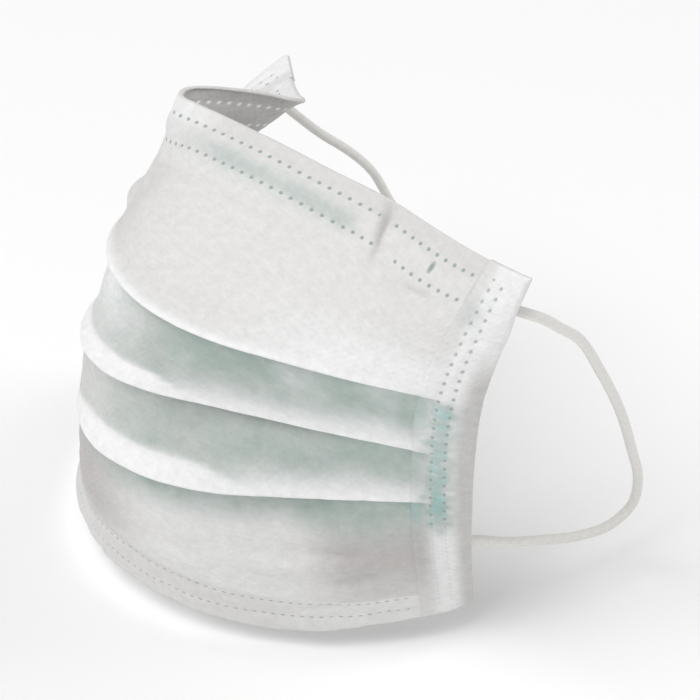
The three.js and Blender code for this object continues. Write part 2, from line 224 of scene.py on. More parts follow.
# The ear loops run from the inside of the upper corner, out behind the side edge and back.
LEFT_LOOP_ROUTE = [
    (86.5, 1.4, -10.4), (91.4, 2.1, -10.5), (95, 4.9, -11.9), (94.4, 10, -16.2), (93.2, 16.6, -21.8),
    (90, 25.5, -33.1), (85.8, 36, -48), (81.5, 44.6, -62.7), (78.2, 50.4, -73.9), (75.8, 51.4, -81.6),
    (74.1, 47.4, -85.5), (73.8, 38.6, -84.7), (74, 27.6, -81), (72.3, 17.8, -78.2), (69.5, 12.4, -77),
    (66.7, 7.6, -77), (64.6, 3.8, -77.4),
]
RIGHT_LOOP_ROUTE = [
    (-27.1, 41, -27.4), (-30.7, 44.4, -28.8), (-33.3, 49.2, -31.5), (-31.6, 56.8, -38.2),
    (-29.6, 64.4, -44.3), (-28.2, 69.3, -49.9), (-27.5, 73.3, -57.3), (-26.8, 77.6, -66),
    (-27.8, 79.6, -76), (-31, 77.4, -86), (-36, 69.4, -92), (-41.6, 58.2, -93),
    (-46.8, 47.6, -90.6), (-50.6, 38, -87), (-51.6, 32, -84.4), (-49.6, 27.2, -82.4),
    (-45.6, 21.6, -81.3), (-42.5, 17.2, -81.2),
]
# Where a loop's ends are welded on, and how far each route point from the end is drawn towards the binding.
# Near its ends a loop is pressed flatter and wider.
LOOP_ROOTS = ({"band": 0, "t": 0.25, "from_edge": 6}, {"band": 3, "t": 0.47, "from_edge": 6})
ROOT_PULL = (1, 0.8, 0.45, 0.15)
ROOT_OFF_BINDING = 0.35
ROOT_FLAT = 7
ROOT_THINNED = 0.66
ROOT_WIDENED = 0.3
ROOT_TWIST_OVER = 30


def smooth(x):
    t = np.clip(x, 0, 1)
    return t * t * (3 - 2 * t)


def ramp(s, at, over):
    return smooth((s - at) / over + 0.5)


def hill(x, wide):
    return np.exp(-(x / wide) ** 2)


def unit(v):
    return v / np.linalg.norm(v, axis=-1, keepdims=True)


def levelled(x, rounding):
    """x from 0 up to 1, and 1 from there on, with the corner rounded."""
    def bent(q):
        return 1 - rounding * np.logaddexp(0, (1 - q) / rounding)
    return (bent(x) - bent(0)) / (1 - bent(0))


def trace(line, places):
    """Points of a line across the mask at the given distances from its left end."""
    s = np.arange(0, MASK_WIDTH + TRACE_STEP / 2, TRACE_STEP)
    after_rise = (s - line["rise_over"]) / (MASK_WIDTH - line["rise_over"])
    height = line["rise"] * smooth(s / line["rise_over"]) - line["drop"] * smooth(after_rise)
    height = height - line["sag"] * np.sin(np.pi * s / MASK_WIDTH)
    climb = np.diff(height) / TRACE_STEP
    level = np.sqrt(1 - np.minimum(climb ** 2, 0.9))
    middle = s[:-1] + TRACE_STEP / 2
    heading = line["heading"] + line["turn"] * ramp(middle, line["turn_at"], line["turn_over"])
    heading = heading + line["crease"] * ramp(middle, CREASE_AT, CREASE_OVER)
    heading = np.radians(heading + line["flare"] * ramp(middle, FLARE_AT, FLARE_OVER))
    steps = np.stack([np.cos(heading) * level, np.sin(heading) * level, climb], 1) * TRACE_STEP
    start = np.array([[line["x"], line["y"], line["z"]]], float)
    points = np.vstack([start, start + np.cumsum(steps, axis=0)])
    return np.stack([np.interp(places, s, points[:, axis]) for axis in range(3)], 1)


class Cloth:
    """The mask's surface at a row of distances from the left side edge."""

    def __init__(self, places):
        self.s = np.array(places, float)
        self.lines = np.array([trace(line, self.s) for line in LINES.values()])
        before = np.array([trace(line, self.s - 0.5) for line in LINES.values()])
        after = np.array([trace(line, self.s + 0.5) for line in LINES.values()])
        self.along = unit(after - before)
        spans = self.lines[1:] - self.lines[:-1]
        self.heights = np.linalg.norm(spans, axis=-1)
        down = unit(spans)
        inward = np.zeros_like(self.lines)
        inward[:-1] += unit(np.cross(down, self.along[:-1]))
        inward[1:] += unit(np.cross(down, self.along[1:]))
        self.inward = unit(inward)
        from_edge = np.minimum(self.s, MASK_WIDTH - self.s)
        self.free = smooth((from_edge - BINDING_WIDTH - FREE_FROM_BINDING) / FREE_OVER)
        self.pliant = smooth((from_edge - BINDING_WIDTH + PLIANT_UNDER_BINDING) / PLIANT_OVER)
        self.curl = EDGE_CURL * np.clip((EDGE_CURL_WIDTH - from_edge) / EDGE_CURL_WIDTH, 0, 1) ** 2
        self.layer = PRESSED_LAYER + (LAYER - PRESSED_LAYER) * self.free
        self.pleat_depth = (CLOTH_HEIGHT - self.heights.sum(0)) / 6
        self.bends = self.curve_down()

    def curve_down(self):
        """Bending of a smooth curve through the five lines, which the cloth follows in the bindings."""
        h = self.heights
        matrix = np.zeros((len(self.s), 3, 3))
        wanted = np.zeros((len(self.s), 3, 3))
        slopes = (self.lines[1:] - self.lines[:-1]) / h[..., None]
        for i in range(3):
            matrix[:, i, i] = 2 * (h[i] + h[i + 1])
            if i < 2:
                matrix[:, i, i + 1] = matrix[:, i + 1, i] = h[i + 1]
            wanted[:, i] = 6 * (slopes[i + 1] - slopes[i])
        bends = np.zeros_like(self.lines)
        bends[1:4] = np.linalg.solve(matrix, wanted).transpose(1, 0, 2)
        return bends

    def inward_at(self, band, t):
        t = np.asarray(t)[..., None]
        return unit(self.inward[band] * (1 - t) + self.inward[band + 1] * t)

    def base(self, band, t):
        """The even surface between two lines, rounded off where the cloth isn't free."""
        t = np.asarray(t)[..., None] * np.ones((len(self.s), 1))
        chord = self.lines[band] * (1 - t) + self.lines[band + 1] * t
        rest = 1 - t
        curve = (rest ** 3 - rest) * self.bends[band] + (t ** 3 - t) * self.bends[band + 1]
        return chord + curve * (self.heights[band] ** 2 / 6 * (1 - self.free))[:, None]

    def recess(self):
        """How far behind a ridge the next band starts."""
        closed = 2 * self.layer + 2 * SOFT_RIDGE * self.free
        return closed + PLEAT_OPENING * self.free * hill(self.s - PLEATS_OPEN_AT, PLEATS_OPEN_WIDE)

    def lip(self, band, t):
        """How far the cloth stands behind the ridge of its band."""
        lip = LIPS[band]
        wide = ramp(self.s, lip["turns_at"], lip["turns_over"])
        span = lip["narrow"] + (lip["wide"] - lip["narrow"]) * wide
        out = lip["narrow_out"] + (lip["wide_out"] - lip["narrow_out"]) * wide
        out = out + (lip["last_out"] - lip["wide_out"]) * ramp(self.s, LIP_EASES_AT, LIP_EASES_OVER)
        above = (1 - t) * self.heights[band]
        return out * self.pliant * levelled(above / span, LIP_ROUNDING)

    def curled(self, band, t):
        """How far the cloth curls in at the side edge, which eases towards the rim."""
        return self.curl * (1 if band > 0 else smooth(t / RIM_CURL_EASES))

    def sink(self, band, t):
        """Depth of a band's own surface: its lip, hollow under the ridge above, dents, crown and curl."""
        t = np.clip(np.asarray(t) * np.ones(len(self.s)), 0, 1)
        depth = np.zeros(len(self.s))
        for dent in DENTS:
            if dent["band"] == band:
                along = self.s - dent["at"] - dent["lean"] * (t - dent["down"])
                depth += dent["depth"] * hill(along, dent["wide"]) * hill(t - dent["down"], dent["tall"])
        pinned = smooth((1 - t) / 0.15)
        if band > 0:
            pinned = pinned * smooth(t / 0.2)
        depth = depth * pinned * self.pliant - CROWNS[band] * np.sin(np.pi * t) * self.free
        depth = depth + self.curled(band, t)
        if band == 0:
            return depth + self.lip(0, t) * smooth(t / 0.4)
        fading = (1 - t) ** (2 + 3 * ramp(self.s, 82, 20))
        if band == 3:
            return depth + self.recess() * fading
        return depth + self.lip(band, t) + (self.recess() - self.lip(band, 0)) * fading

    def skin(self, band, t, depth=0):
        """Points of a band's surface, depth inside the middle of the cloth."""
        points = self.base(band, t)
        uneven = sum(swells(points, **swell) for swell in SWELLS) * self.free
        uneven = uneven + self.pliant * crumples(self.s, band + np.mean(t), CREASES[band])
        if band == 3:
            near_left = 1 - ramp(self.s, 34, 22)
            uneven = uneven + LOWEST_CREASES * self.pliant * crumples(self.s, 9 + np.mean(t), near_left)
        total = self.sink(band, t) + depth + uneven
        return points + self.inward_at(band, t) * total[..., None]

    def below_rim(self, distance):
        return distance / self.heights[0]

    def above_bottom(self, distance):
        """t of band 3 at a distance above the bottom edge."""
        middle = hill(self.s - HEM_WIDTH["at"], HEM_WIDTH["wide"])
        widening = HEM_WIDTH["least"] + HEM_WIDTH["more"] * middle
        sag = HEM_SAG["sag"] * hill(self.s - HEM_SAG["at"], HEM_SAG["wide"]) * (1 - smooth(distance / 3))
        return 1 - (distance * widening - sag) / self.heights[3]


def swells(points, amount, span):
    """Low uneven swells of the cloth, the same at each run."""
    return np.array([amount * noise.noise(Vector(p) / span) for p in points])


def crumples(s, down, amount):
    """Small soft creases, longer along the mask than down it, where "down" counts the bands."""
    values = [1 - abs(noise.noise((a / 13, down * 6, 3.7))) * 2.4 for a in s]
    return amount * np.clip(values, -0.4, 1) ** 3


def marks_between(count, start, per_mark):
    """Distance from each column to the nearest weld mark's middle, in millimetres."""
    index = (np.arange(count) - start) % per_mark
    return np.minimum(index, per_mark - index) * COLUMN


def weld_marks(columns, across, half, kept):
    """Place in a weld mark, where 1 is its edge: along the row of marks, and across it."""
    weld = np.abs(np.stack([columns / half[0], np.ones(len(columns)) * across / half[1]], 1))
    weld[~kept] = FAR
    return weld


def pressed(weld):
    """How far the cloth is pressed in at a weld mark."""
    return WELD_DEPTH * np.clip(1.25 - np.linalg.norm(weld, axis=1) / 1.6, 0, 1)


class Piece:
    """Rows of points with the coordinates and tints that its cloth is coloured by, painted shade among them.
    """

    def __init__(self):
        self.points, self.v, self.weld, self.mint, self.painted_shade = [], [], [], [], []

    def row(self, points, v, weld=None, mint=0, painted_shade=0):
        count = len(points)
        self.points.append(points)
        self.v.append(np.ones(count) * v)
        self.weld.append(np.full((count, 2), float(FAR)) if weld is None else weld)
        self.mint.append(np.ones(count) * mint)
        self.painted_shade.append(np.ones(count) * painted_shade)


def place_grid(points, u, v, tints=None):
    """A bmesh grid whose points are moved to the rows given, with cloth coordinates in millimetres."""
    rows, columns = points.shape[:2]
    bm = bmesh.new()
    bmesh.ops.create_grid(bm, x_segments=columns - 1, y_segments=rows - 1, size=0.5)
    uv_layer = bm.loops.layers.uv.new("cloth")
    if tints:
        bm.verts.layers.float_vector.new("weld")
        bm.verts.layers.float.new("mint")
        bm.verts.layers.float.new("painted_shade")
    texture = {}
    for vert in bm.verts:
        j = round((vert.co.x + 0.5) * (columns - 1))
        i = round((vert.co.y + 0.5) * (rows - 1))
        vert.co = points[i, j] * MM
        texture[vert] = (u[j] / TEXTURE_SPAN, v[i][j] / TEXTURE_SPAN)
        if tints:
            vert[bm.verts.layers.float_vector["weld"]] = (*tints.weld[i][j], 0)
            vert[bm.verts.layers.float["mint"]] = tints.mint[i][j]
            vert[bm.verts.layers.float["painted_shade"]] = tints.painted_shade[i][j]
    for face in bm.faces:
        face.smooth = True
        for loop in face.loops:
            loop[uv_layer].uv = texture[loop.vert]
    return bm


def add_object(name, bm):
    mesh = bpy.data.meshes.new(name)
    bm.to_mesh(mesh)
    bm.free()
    obj = bpy.data.objects.new(name, mesh)
    bpy.context.scene.collection.objects.link(obj)
    return obj


def cloth_wall(name, piece, u, thickness):
    """A piece's rows as one sheet, given a thickness half on each side."""
    obj = add_object(name, place_grid(np.array(piece.points), u, piece.v, piece))
    wall = obj.modifiers.new("wall", "SOLIDIFY")
    wall.thickness = thickness * MM
    wall.offset = 0
    return obj


def half_circle(steps):
    return [math.pi * i / steps for i in range(steps + 1)]


def mesh_columns():
    """Distances from the left side edge of the columns of the panel and the hems."""
    return np.arange(EDGE_TUCK, MASK_WIDTH - EDGE_TUCK + 0.01, COLUMN)


def over_wire(places):
    """1 where the wire runs under the cloth, and 0 elsewhere."""
    return ramp(places, WIRE_STARTS, 2) * (1 - ramp(places, WIRE_ENDS, 2))


def panel_piece():
    """The filter cloth, rolled over the rim, through three pleats and rolled under the bottom edge."""
    places = mesh_columns()
    cloth = Cloth(places)
    piece = Piece()

    def add(band, t, depth, v, weld=None, mint=0, painted_shade=0):
        piece.row(cloth.skin(band, t, depth), v, weld, mint, painted_shade)

    last_close = add_rim_rows(cloth, add)
    height = cloth.heights[0]
    ridge = RIDGE_RADIUS + SOFT_RIDGE * cloth.free
    add_span(cloth, add, 0, cloth.below_rim(last_close), 1 - ridge / height, TOP_BAND_ROWS, 0)
    v = np.array(height)
    lowest_open = BOTTOM_ROWS[1] + 2 * ROW
    for band in (0, 1, 2):
        add_pleat(cloth, add, band, v, ridge)
        v = v + 2 * cloth.pleat_depth
        height = cloth.heights[band + 1]
        end = cloth.above_bottom(lowest_open) if band == 2 else 1 - ridge / height
        add_span(cloth, add, band + 1, 0, end, LOWER_BAND_ROWS, v)
        v = v + height
    add_bottom_rows(cloth, add, lowest_open, v)
    return cloth_wall("mask_cloth", piece, places, CLOTH)


def clear_of_bindings(places):
    return (places > BINDING_WIDTH + 1) & (places < MASK_WIDTH - BINDING_WIDTH - 1)


def rim_tints(places, d):
    """How mint and how greyed the top hem looks: mint below the wire, partly the filter ply and partly
    painted shade; painted shade over it all, deeper by the rim; and a painted shadow in the crease.
    """
    mint_below_rim, mint_width = 7.4, 2.2
    before_turn = 1 - ramp(places, 88, 16)
    mint = 0.6 * hill(d - mint_below_rim, mint_width) * (smooth((places - CREASE_AT) / 6) * before_turn)
    by_rim = 1 - smooth((d - 3) / 2.4)
    painted_shade = 0.37 + (0.11 - 0.3 * ramp(places, 88, 14)) * by_rim
    # A painted shadow along the crease.
    painted_crease_shadow = 0.6 * hill(places - CREASE_AT + 0.5 * d, 1.1) * hill(d - 6, 5)
    return mint, painted_shade + painted_crease_shadow


def add_rim_rows(cloth, add):
    """The roll over the rim and the welded hem, with the wire's bulge. Returns how far down it reaches."""
    places = cloth.s
    dots = marks_between(len(places), 2, COLUMNS_PER_DOT)
    clear = clear_of_bindings(places)
    # The roll over the rim is greyed as painted shade.
    for angle in half_circle(ROLL_STEPS)[:0:-1]:
        down = TOP_ROLL * (1 - math.sin(angle))
        add(0, cloth.below_rim(down), TOP_ROLL * (1 - math.cos(angle)), -TOP_ROLL * angle, painted_shade=0.48)
    last_close = 22 * ROW
    for d in np.arange(ROW, last_close + 0.01, ROW):
        weld = None
        depth = -WIRE_BULGE_OUT * over_wire(places) * hill(d - WIRE_BELOW_RIM, 2)
        for row, (crease_from, crease_to) in TOP_ROWS.items():
            kept = clear & ((places < crease_from) | (places > crease_to))
            if abs(d - row) < MARK_REACH:
                weld = weld_marks(dots, d - row, DOT_HALF, kept)
                depth = depth + pressed(weld)
            depth = depth + WELD_GROOVE * hill(d - row, 1.3) * clear
        off = d - WIRE_END_MARK["below_rim"]
        if abs(off) < 1.6:
            aside = places - WIRE_END_MARK["at"]
            mark = weld_marks(aside, off, WIRE_END_MARK["half"], np.abs(aside) < 1.3)
            weld = mark if weld is None else np.where(np.abs(aside)[:, None] < 2, mark, weld)
        add(0, cloth.below_rim(d), depth, d, weld, *rim_tints(places, d))
    return last_close


def add_bottom_rows(cloth, add, lowest_open, v):
    """The welded bottom hem and the roll under the bottom edge."""
    dashes = marks_between(len(cloth.s), 1, COLUMNS_PER_DASH)
    clear = clear_of_bindings(cloth.s)
    # Painted shade: the bottom hem is greyed, more on the right.
    painted_shade = 0.28 + 0.16 * ramp(cloth.s, 34, 24)
    for d in np.arange(lowest_open - ROW, BOTTOM_ROLL - 0.01, -ROW):
        weld = None
        depth = 0.0
        for row in BOTTOM_ROWS:
            if abs(d - row) < MARK_REACH:
                weld = weld_marks(dashes, abs(d - row) + DASH_FAINTNESS, DASH_HALF, clear)
                depth = depth + 0.7 * pressed(weld)
            depth = depth + WELD_GROOVE * hill(d - row, 1.1) * clear
        add(3, cloth.above_bottom(d), depth, v - d, weld, 0, painted_shade)
    for angle in half_circle(ROLL_STEPS)[1:]:
        up = BOTTOM_ROLL * (1 - math.sin(angle))
        depth = BOTTOM_ROLL * (1 - math.cos(angle))
        add(3, cloth.above_bottom(up), depth, v + BOTTOM_ROLL * angle, None, 0, painted_shade)


def band_tints(cloth, band, t):
    """How mint and how greyed the cloth looks, as painted shade: under the ridge above, down to the middle
    bands' lips, and under the last fold. On the top band a painted highlight keeps it lighter near its ridge
    on the left.
    The mint is partly the filter ply showing through.

    "past_turn" is 0 on the left half of the mask and 1 on the right half. "near_edge" is 1 by the left side.
    """
    s = cloth.s
    height = cloth.heights[band]
    past_turn = ramp(s, 74, 22)
    if band == 0:
        # Painted shade over the top band, left off near its ridge on the left as a painted highlight.
        painted_highlight = smooth((t - 0.55) / 0.35) * (1 - ramp(s, 40, 40))
        painted_shade = 0.4 + 0.12 * hill(s - 96, 12) * smooth(t / 0.3)
        return 0, painted_shade * (1 - painted_highlight) * smooth((1 - t) * height / 2.2)
    if band == 3:
        # Painted shade under the last fold: mint just under it, greyed in its upper half on the right and
        # around its middle by the left side.
        near_edge = 1 - ramp(s, 30, 16)
        upper = 1 - smooth((t - 0.45) / 0.35)
        mint = 1.1 * (1 - smooth((t - 0.04) / (0.26 + 0.16 * near_edge))) * (1 - 0.6 * past_turn)
        painted_shade = 0.32 + 0.58 * past_turn * upper + 0.55 * near_edge * hill(t - 0.45, 0.35)
        return mint, painted_shade
    # On the middle bands: painted shade in the hollow under the ridge above, down to the lip, which is left
    # lighter as lit.
    lip = LIPS[band]
    wide = ramp(s, lip["turns_at"], lip["turns_over"])
    span = lip["narrow"] + (lip["wide"] - lip["narrow"]) * wide
    above = (1 - t) * height
    sharp = smooth((above / span - 0.72) / 0.36)
    faded = smooth((above + 0.5) / 10)
    mint = 0.95 * (1 - wide) * faded + wide * sharp * (0.7 - 0.42 * past_turn)
    painted_shade = (1 - wide) * (0.14 + 0.3 * (band - 1)) * faded + wide * sharp * (0.34 + 0.14 * past_turn)
    painted_shade = painted_shade + 0.3 * hill(s - 57, 15) * (faded * (1 - wide) + sharp * wide)
    lightest = 0.5 * past_turn * hill(t, 0.6) if band == 1 else 0
    return mint, painted_shade - lightest * wide * sharp


def add_span(cloth, add, band, start, end, steps, v):
    """The open cloth of a band, from its share "start" to its share "end"."""
    for i in range(1, steps + 1):
        t = start + (end - start) * i / steps
        add(band, t, 0, v + t * cloth.heights[band], None, *band_tints(cloth, band, t))


def add_pleat(cloth, add, band, v, ridge):
    """Round the ridge, up behind the band, round the valley and down to where the next band starts."""
    height = cloth.heights[band]
    depth = cloth.pleat_depth
    layer = cloth.layer
    recess = cloth.recess()
    for angle in half_circle(ROLL_STEPS)[1:-1]:
        up = ridge * (1 - math.sin(angle))
        add(band, 1 - up / height, ridge * (1 - math.cos(angle)), v + ridge * (angle - 1.57))
    # The cloth inside the pleat is tinted mint, partly the filter ply and partly painted shade in the
    # recess.
    rises = (0.06, 0.25, 0.5, 0.75, 0.94)
    for share in rises:
        rise = ridge + (depth - layer / 2 - ridge) * share
        close = smooth(share / 0.5)
        behind = 2 * ridge * (1 - close) + layer * close
        add(band, 1 - rise / height, behind, v + rise, None, 0.4)
    for angle in half_circle(4)[1:-1]:
        up = depth - layer / 2 + layer / 2 * math.sin(angle)
        add(band, 1 - up / height, 1.5 * layer - layer / 2 * math.cos(angle), v + up, None, 0.5)
    for share in rises[::-1]:
        rise = (depth - layer / 2) * share
        behind = recess + (2 * layer - recess) * smooth(share)
        add(band, 1 - rise / height, behind, v + 2 * depth - rise, None, 0.7)


def hem_piece(name, band, rows, roll, height, per_mark, half):
    """The cloth turned in over an edge, tucked under the roll and welded flat behind the panel."""
    places = mesh_columns()
    cloth = Cloth(places)
    marks = marks_between(len(places), per_mark // 2, per_mark)
    place = cloth.below_rim if band == 0 else cloth.above_bottom
    tucked = roll - CLOTH
    piece = Piece()
    # The turned cloth is greyed as painted shade, fully at its roll, and tinted mint lower down, partly
    # painted shade.
    for angle in half_circle(ROLL_STEPS)[3:]:
        down = roll - tucked * math.sin(angle)
        depth = roll - tucked * math.cos(angle)
        piece.row(cloth.skin(band, place(down), depth), tucked * (angle - 3), painted_shade=1)
    for d in np.arange(ROW, height + 0.01, ROW):
        weld = None
        depth = HEM_DEPTH + (2 * roll - CLOTH - HEM_DEPTH) * hill(d, 2.2) * np.ones(len(places))
        if band == 0:
            depth = depth + WIRE_BULGE_IN * hill(d - WIRE_BELOW_RIM, 2.2) * over_wire(places)
        for row in rows:
            if abs(d - row) < MARK_REACH:
                weld = weld_marks(marks, d - row, half, clear_of_bindings(places))
                depth = depth - 0.6 * pressed(weld)
        piece.row(cloth.skin(band, place(d), depth), d, weld, 0.7 * smooth((d - 8) / 4), 0.6)
    return cloth_wall(name, piece, places, CLOTH)


def wire_piece():
    """The flat plastic strip that holds the wire, between the panel and the top hem."""
    places = np.linspace(WIRE_STARTS, WIRE_ENDS, 150)
    cloth = Cloth(places)
    piece = Piece()
    for across in np.linspace(-0.5, 0.5, 7):
        d = WIRE_BELOW_RIM + WIRE_WIDTH * across
        rounded = WIRE_CROWN * (1 - (2 * across) ** 2)
        piece.row(cloth.skin(0, cloth.below_rim(d), WIRE_DEPTH - rounded), d)
    return cloth_wall("nose_wire_strip", piece, places, WIRE_THICKNESS)


# Depth of the binding's outer layer, and of its inner layer over the hems and over the stacked pleats.
BINDING_OUTER = -(CLOTH / 2 + 0.06 + BINDING_CLOTH / 2)
BINDING_INNER_THIN = 1.0
BINDING_INNER = 4 * PRESSED_LAYER + CLOTH / 2 + 0.1 + BINDING_CLOTH / 2
# The binding swells between its edge and its columns of weld marks, and is unevenly pressed.
BINDING_PUFFS = ({"at": 2.2, "wide": 1.2, "out": 0.12}, {"at": 5.85, "wide": 0.8, "out": 0.14})
BINDING_UNEVEN = 0.2
BINDING_WELD = 1.2
# How thick a binding is at its last rows, where it closes.
CLOSING = (1, 0.75, 0.05)


def binding_section(stacked):
    """Across a folded binding: distance from the side edge, depth, distance along the cloth, and layer.

    The layer is 1 outside, -1 inside and between them round the edge.
    """
    inner = BINDING_INNER_THIN + (BINDING_INNER - BINDING_INNER_THIN) * stacked
    middle, radius = (inner + BINDING_OUTER) / 2, (inner - BINDING_OUTER) / 2
    steps = round(BINDING_WIDTH / COLUMN)
    section = []
    for i in range(steps, 0, -1):
        w = i * COLUMN
        section.append((w, BINDING_OUTER + 0.16 * smooth((w - 8.6) / 2.4) - middle, w, 1))
    for angle in half_circle(8):
        w = -0.8 * radius * math.sin(angle)
        section.append((w, -radius * math.cos(angle), -radius * angle, math.cos(angle)))
    for i in range(1, steps + 1):
        section.append((i * COLUMN, radius, -math.pi * radius - i * COLUMN, -1))
    return section, middle


def side_mark(i, w, welded, rungs):
    """Place in a weld mark at row i of a binding: in two staggered columns of dots, or of faint rungs."""
    column = min(SIDE_COLUMNS, key=lambda c: abs(c - w))
    kept = np.array([welded and abs(w - column) < 1.1])
    if rungs:
        return weld_marks(np.array([i % 2 * COLUMN]), abs(w - column) + RUNG_FAINTNESS, RUNG_HALF, kept)
    step = (i - (2 if column == SIDE_COLUMNS[0] else 0)) % COLUMNS_PER_DOT
    off = min(step, COLUMNS_PER_DOT - step) * COLUMN
    return weld_marks(np.array([off]), w - column, DOT_HALF, kept)


def binding_tints(cloth, band, t, w, v, knots):
    """Teal over the pleats and in a patch near the top, painted shade along the edge where it curls away,
    and the bands' tints, with their painted shade, further in.
    """
    mint, painted_shade = (np.ravel(tint * np.ones(1))[0] for tint in band_tints(cloth, band, t))
    inner = smooth((w - 5) / 5)
    stacked = smooth((v - knots[1] + 1) / 3) * (1 - smooth((v - knots[3] - 4) / 8))
    patchy = 0.9 + 0.7 * noise.noise((w / 2.2, v / 1.8, 5.1))
    teal = 1.3 * stacked * hill(w - 5.8, 3.1) * patchy + 0.45 * hill(v - 11, 3.5) * hill(w - 8, 3)
    # Painted shade along the side edge, where the cloth curls away from the light.
    edge = 0.6 * (1 - smooth((w - 1) / 3)) * smooth((v - 18) / 12)
    return np.maximum(teal, mint * inner), np.maximum(0.06 + edge, painted_shade * inner)


def binding_piece(name, left):
    """A strip folded over a side edge, with two columns of weld marks through all the layers."""
    columns = {}
    heights = Cloth([0 if left else MASK_WIDTH]).heights[:, 0]
    knots = np.concatenate([[0], np.cumsum(heights)])
    beyond_edge = 0.1
    length = heights.sum() + 2 * beyond_edge
    count = round(length / COLUMN)
    noise_place = 1.3 if left else 8.1
    piece = Piece()
    for i in range(-2, count + 3):
        past = max(-i, i - count, 0)
        v = -beyond_edge + length * np.clip(i, 0, count) / count + 0.12 * past * (1 if i > 0 else -1)
        band = int(np.clip(np.searchsorted(knots, v) - 1, 0, 3))
        t = (v - knots[band]) / heights[band]
        stacked = smooth((v - 8) / 9) * (1 - smooth((v - knots[3] - 4) / 14))
        section, middle = binding_section(stacked)
        points, weld, tints = [], [], []
        for w, off_middle, _, layer in section:
            from_edge = max(0, w)
            if from_edge not in columns:
                columns[from_edge] = Cloth([from_edge if left else MASK_WIDTH - from_edge])
            cloth = columns[from_edge]
            mark = side_mark(i, w, w > 0 and 3 < i < count - 3, v > knots[3] + 7)
            off_middle = off_middle * CLOSING[past]
            if past == 0 and w > 0:
                puffed = sum(puff["out"] * hill(w - puff["at"], puff["wide"]) for puff in BINDING_PUFFS)
                uneven = BINDING_UNEVEN * noise.noise((w / 3, v / 3.2, noise_place)) * smooth((10 - w) / 2)
                off_middle = off_middle + layer * (BINDING_WELD * pressed(mark)[0] - puffed + uneven)
            sink = cloth.sink(band, t)[0]
            curl = cloth.curled(band, t)[0]
            followed = smooth((w - 5.5) / 4) if layer == 1 and past == 0 else 0
            depth = middle + off_middle + curl + (sink - curl) * followed
            side = unit(cloth.along[band] * (1 - t) + cloth.along[band + 1] * t)
            side = side * min(0, w) * CLOSING[past] * (1 if left else -1)
            points.append((cloth.base(band, t) + cloth.inward_at(band, t) * depth + side)[0])
            weld.append(mark[0])
            # The inner layer is greyed as painted shade.
            tints.append(binding_tints(cloth, band, t, w, v, knots) if layer > 0 else (0, 0.4))
        mint, painted_shade = np.array(tints, float).T
        piece.row(np.array(points), v, np.array(weld), mint, painted_shade)
    around = np.array([u for _, _, u, _ in section])
    return cloth_wall(name, piece, around, BINDING_CLOTH)


def smooth_route(points, step):
    """Points a step apart on the centripetal curve through the route, and its length."""
    route = [np.array(p, float) for p in points]
    route = [2 * route[0] - route[1], *route, 2 * route[-1] - route[-2]]
    fine = []
    for p0, p1, p2, p3 in zip(route, route[1:], route[2:], route[3:]):
        d0, d1, d2 = (np.linalg.norm(b - a) ** 0.5 for a, b in ((p0, p1), (p1, p2), (p2, p3)))
        m1 = d1 * ((p1 - p0) / d0 - (p2 - p0) / (d0 + d1) + (p2 - p1) / d1)
        m2 = d1 * ((p2 - p1) / d1 - (p3 - p1) / (d1 + d2) + (p3 - p2) / d2)
        for t in np.linspace(0, 1, 20, endpoint=False):
            bow = t * (1 - t) ** 2 * m1 - t * t * (1 - t) * m2
            fine.append(p1 + (p2 - p1) * smooth(t) + bow)
    fine = np.array([*fine, route[-2]])
    along = np.concatenate([[0], np.cumsum(np.linalg.norm(np.diff(fine, axis=0), axis=1))])
    places = np.linspace(0, along[-1], round(along[-1] / step) + 1)
    return np.stack([np.interp(places, along, fine[:, axis]) for axis in range(3)], 1), along[-1]


def rooted_route(route, left):
    """The loop's route with its ends drawn in to the binding, and the way that the binding faces there.

    Both ends clear the binding where it is thickest, so they stand off its thinner stretch by the rim.
    """
    points = [np.array(p, float) for p in route]
    facings = []
    for root, order in zip(LOOP_ROOTS, (points, points[::-1])):
        cloth = Cloth([root["from_edge"] if left else MASK_WIDTH - root["from_edge"]])
        facing = cloth.inward_at(root["band"], root["t"])[0]
        resting = BINDING_INNER + BINDING_CLOTH / 2 + ROOT_OFF_BINDING
        pull = cloth.base(root["band"], root["t"])[0] + facing * resting - order[0]
        for point, share in zip(order, ROOT_PULL):
            point += pull * share
        facings.append(facing)
    return points, facings


